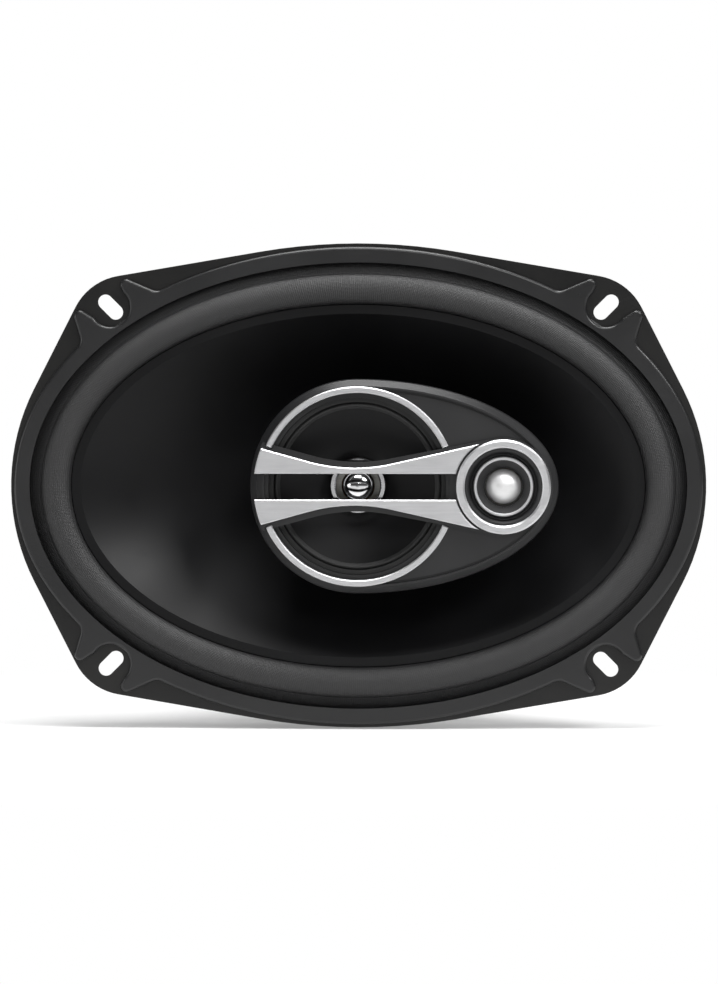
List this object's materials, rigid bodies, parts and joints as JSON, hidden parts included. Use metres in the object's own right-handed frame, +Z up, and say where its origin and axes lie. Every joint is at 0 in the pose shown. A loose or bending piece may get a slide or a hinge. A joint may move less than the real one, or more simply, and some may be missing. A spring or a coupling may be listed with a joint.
{
  "type": "coaxial car speaker",
  "caption": "Oval coaxial loudspeaker with a steel basket, cloth-edged cone and a central pod that holds a midrange unit behind two bars and a dome tweeter.",
  "frame": {"origin": "centre of the speaker's axis on the rear face of the mounting flange", "axes": "front faces -Y, +X along the long side towards the tweeter, +Z up"},
  "size_m": [0.237, 0.094, 0.165],
  "materials": {
    "painted_steel": "satin black paint on pressed steel",
    "moulded_trim": "satin moulded black",
    "cloth_roll": "coated woven cloth",
    "cone_black": "smooth satin",
    "pod_black": "satin moulded",
    "satin_silver": "satin metallised",
    "bright_chrome": "polished",
    "spider_cloth": "resin-dipped cloth",
    "soft_rubber": "matt",
    "ferrite": "dark sintered",
    "plated_steel": "zinc plated",
    "copper_wire": "enamelled winding",
    "former_film": "amber film",
    "board": "fibre board",
    "terminal_tin": "tinned brass",
    "braid": "woven tinsel braid",
    "capacitor_sleeve": "shrink sleeve"
  },
  "bodies": {
    "frame": {"bar_carrier": "pod_black", "basket": "painted_steel", "centre_post": "pod_black", "ferrite_magnet": "ferrite", "front_plate": "plated_steel", "lower_bar": "satin_silver", "lower_ring_arc": "satin_silver", "midrange_capacitor": "capacitor_sleeve", "midrange_dome": "bright_chrome", "midrange_frame": "pod_black", "midrange_gasket": "soft_rubber", "midrange_magnet": "ferrite", "midrange_plate": "plated_steel", "midrange_spider": "spider_cloth", "midrange_surround": "soft_rubber", "midrange_yoke": "plated_steel", "negative_lead": "braid", "negative_terminal": "terminal_tin", "plate_rivets": "plated_steel", "pod_front_shell": "pod_black", "pod_rear_shell": "pod_black", "positive_lead": "braid", "positive_terminal": "terminal_tin", "post_nut": "plated_steel", "post_washer": "plated_steel", "spider": "spider_cloth", "terminal_board": "board", "terminal_rivets": "plated_steel", "trim_ring": "moulded_trim", "tweeter_bezel": "satin_silver", "tweeter_capacitor": "capacitor_sleeve", "tweeter_cup": "plated_steel", "tweeter_face": "pod_black", "tweeter_magnet": "ferrite", "tweeter_mount": "pod_black", "tweeter_pole": "plated_steel", "tweeter_ring": "satin_silver", "tweeter_surround": "soft_rubber", "upper_bar": "satin_silver", "upper_ring_arc": "satin_silver", "woofer_surround": "cloth_roll", "yoke": "plated_steel"},
    "woofer": {"woofer_cone": "cone_black", "voice_coil_former": "former_film", "voice_coil_winding": "copper_wire"},
    "midrange": {"midrange_cone": "cone_black", "midrange_collar": "bright_chrome", "midrange_former": "former_film"},
    "tweeter": {"tweeter_dome": "bright_chrome", "tweeter_coil": "copper_wire"}
  },
  "joints": [
    {"name": "woofer_travel", "type": "slide", "parent": "frame", "child": "woofer", "axis": [0, -1, 0], "range_m": [-0.005, 0.005], "stiffness_N_per_m": 1500, "deforming": ["woofer_surround", "spider", "positive_lead", "negative_lead"]},
    {"name": "midrange_travel", "type": "slide", "parent": "frame", "child": "midrange", "axis": [0, -1, 0], "range_m": [-0.0008, 0.0008], "stiffness_N_per_m": 2000, "deforming": ["midrange_surround", "midrange_spider"]},
    {"name": "tweeter_travel", "type": "slide", "parent": "frame", "child": "tweeter", "axis": [0, -1, 0], "range_m": [-0.0003, 0.0003], "stiffness_N_per_m": 2000, "deforming": ["tweeter_surround"]}
  ]
}
